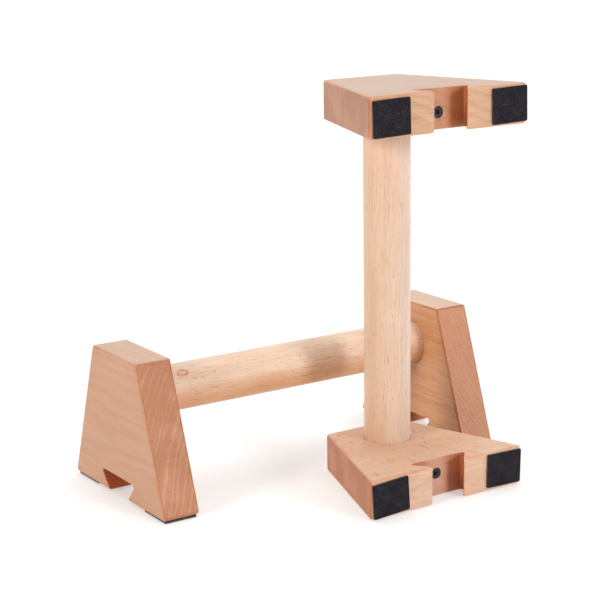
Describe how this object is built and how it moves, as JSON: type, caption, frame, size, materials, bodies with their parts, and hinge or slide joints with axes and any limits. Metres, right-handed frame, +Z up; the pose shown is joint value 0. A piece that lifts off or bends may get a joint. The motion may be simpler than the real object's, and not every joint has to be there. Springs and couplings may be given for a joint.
{
  "type": "pair of parallettes",
  "caption": "Pair of low wooden push-up bars: a round rod between trapezoid end blocks with dovetail notches and rubber feet, one lying, one on end.",
  "frame": {"origin": "on the floor, in the middle of the pair's footprint as it stands", "axes": "+X along the lying bar's rod, +Y from the standing bar towards the lying bar, +Z up"},
  "size_m": [0.3, 0.2184, 0.3],
  "materials": {
    "block_wood": "bare steamed beech, finely sanded",
    "rod_wood": "bare pale beech, turned and sanded",
    "rubber_pad": "matt black with a fine diamond mesh",
    "black_screw": "black phosphated steel"
  },
  "bodies": {
    "lying_bar": {"lying_left_block": "block_wood", "lying_left_screw": "black_screw", "lying_left_front_pad": "rubber_pad", "lying_left_back_pad": "rubber_pad", "lying_right_block": "block_wood", "lying_right_screw": "black_screw", "lying_right_front_pad": "rubber_pad", "lying_right_back_pad": "rubber_pad", "lying_rod": "rod_wood"},
    "upright_bar": {"upright_bottom_block": "block_wood", "upright_bottom_screw": "black_screw", "upright_bottom_left_pad": "rubber_pad", "upright_bottom_right_pad": "rubber_pad", "upright_top_block": "block_wood", "upright_top_screw": "black_screw", "upright_top_left_pad": "rubber_pad", "upright_top_right_pad": "rubber_pad", "upright_rod": "rod_wood"}
  },
  "joints": [
    {"name": "upright_bar_lift", "type": "slide", "parent": "lying_bar", "child": "upright_bar", "axis": [0, 0, 1], "range_m": [0, 0.15]}
  ]
}
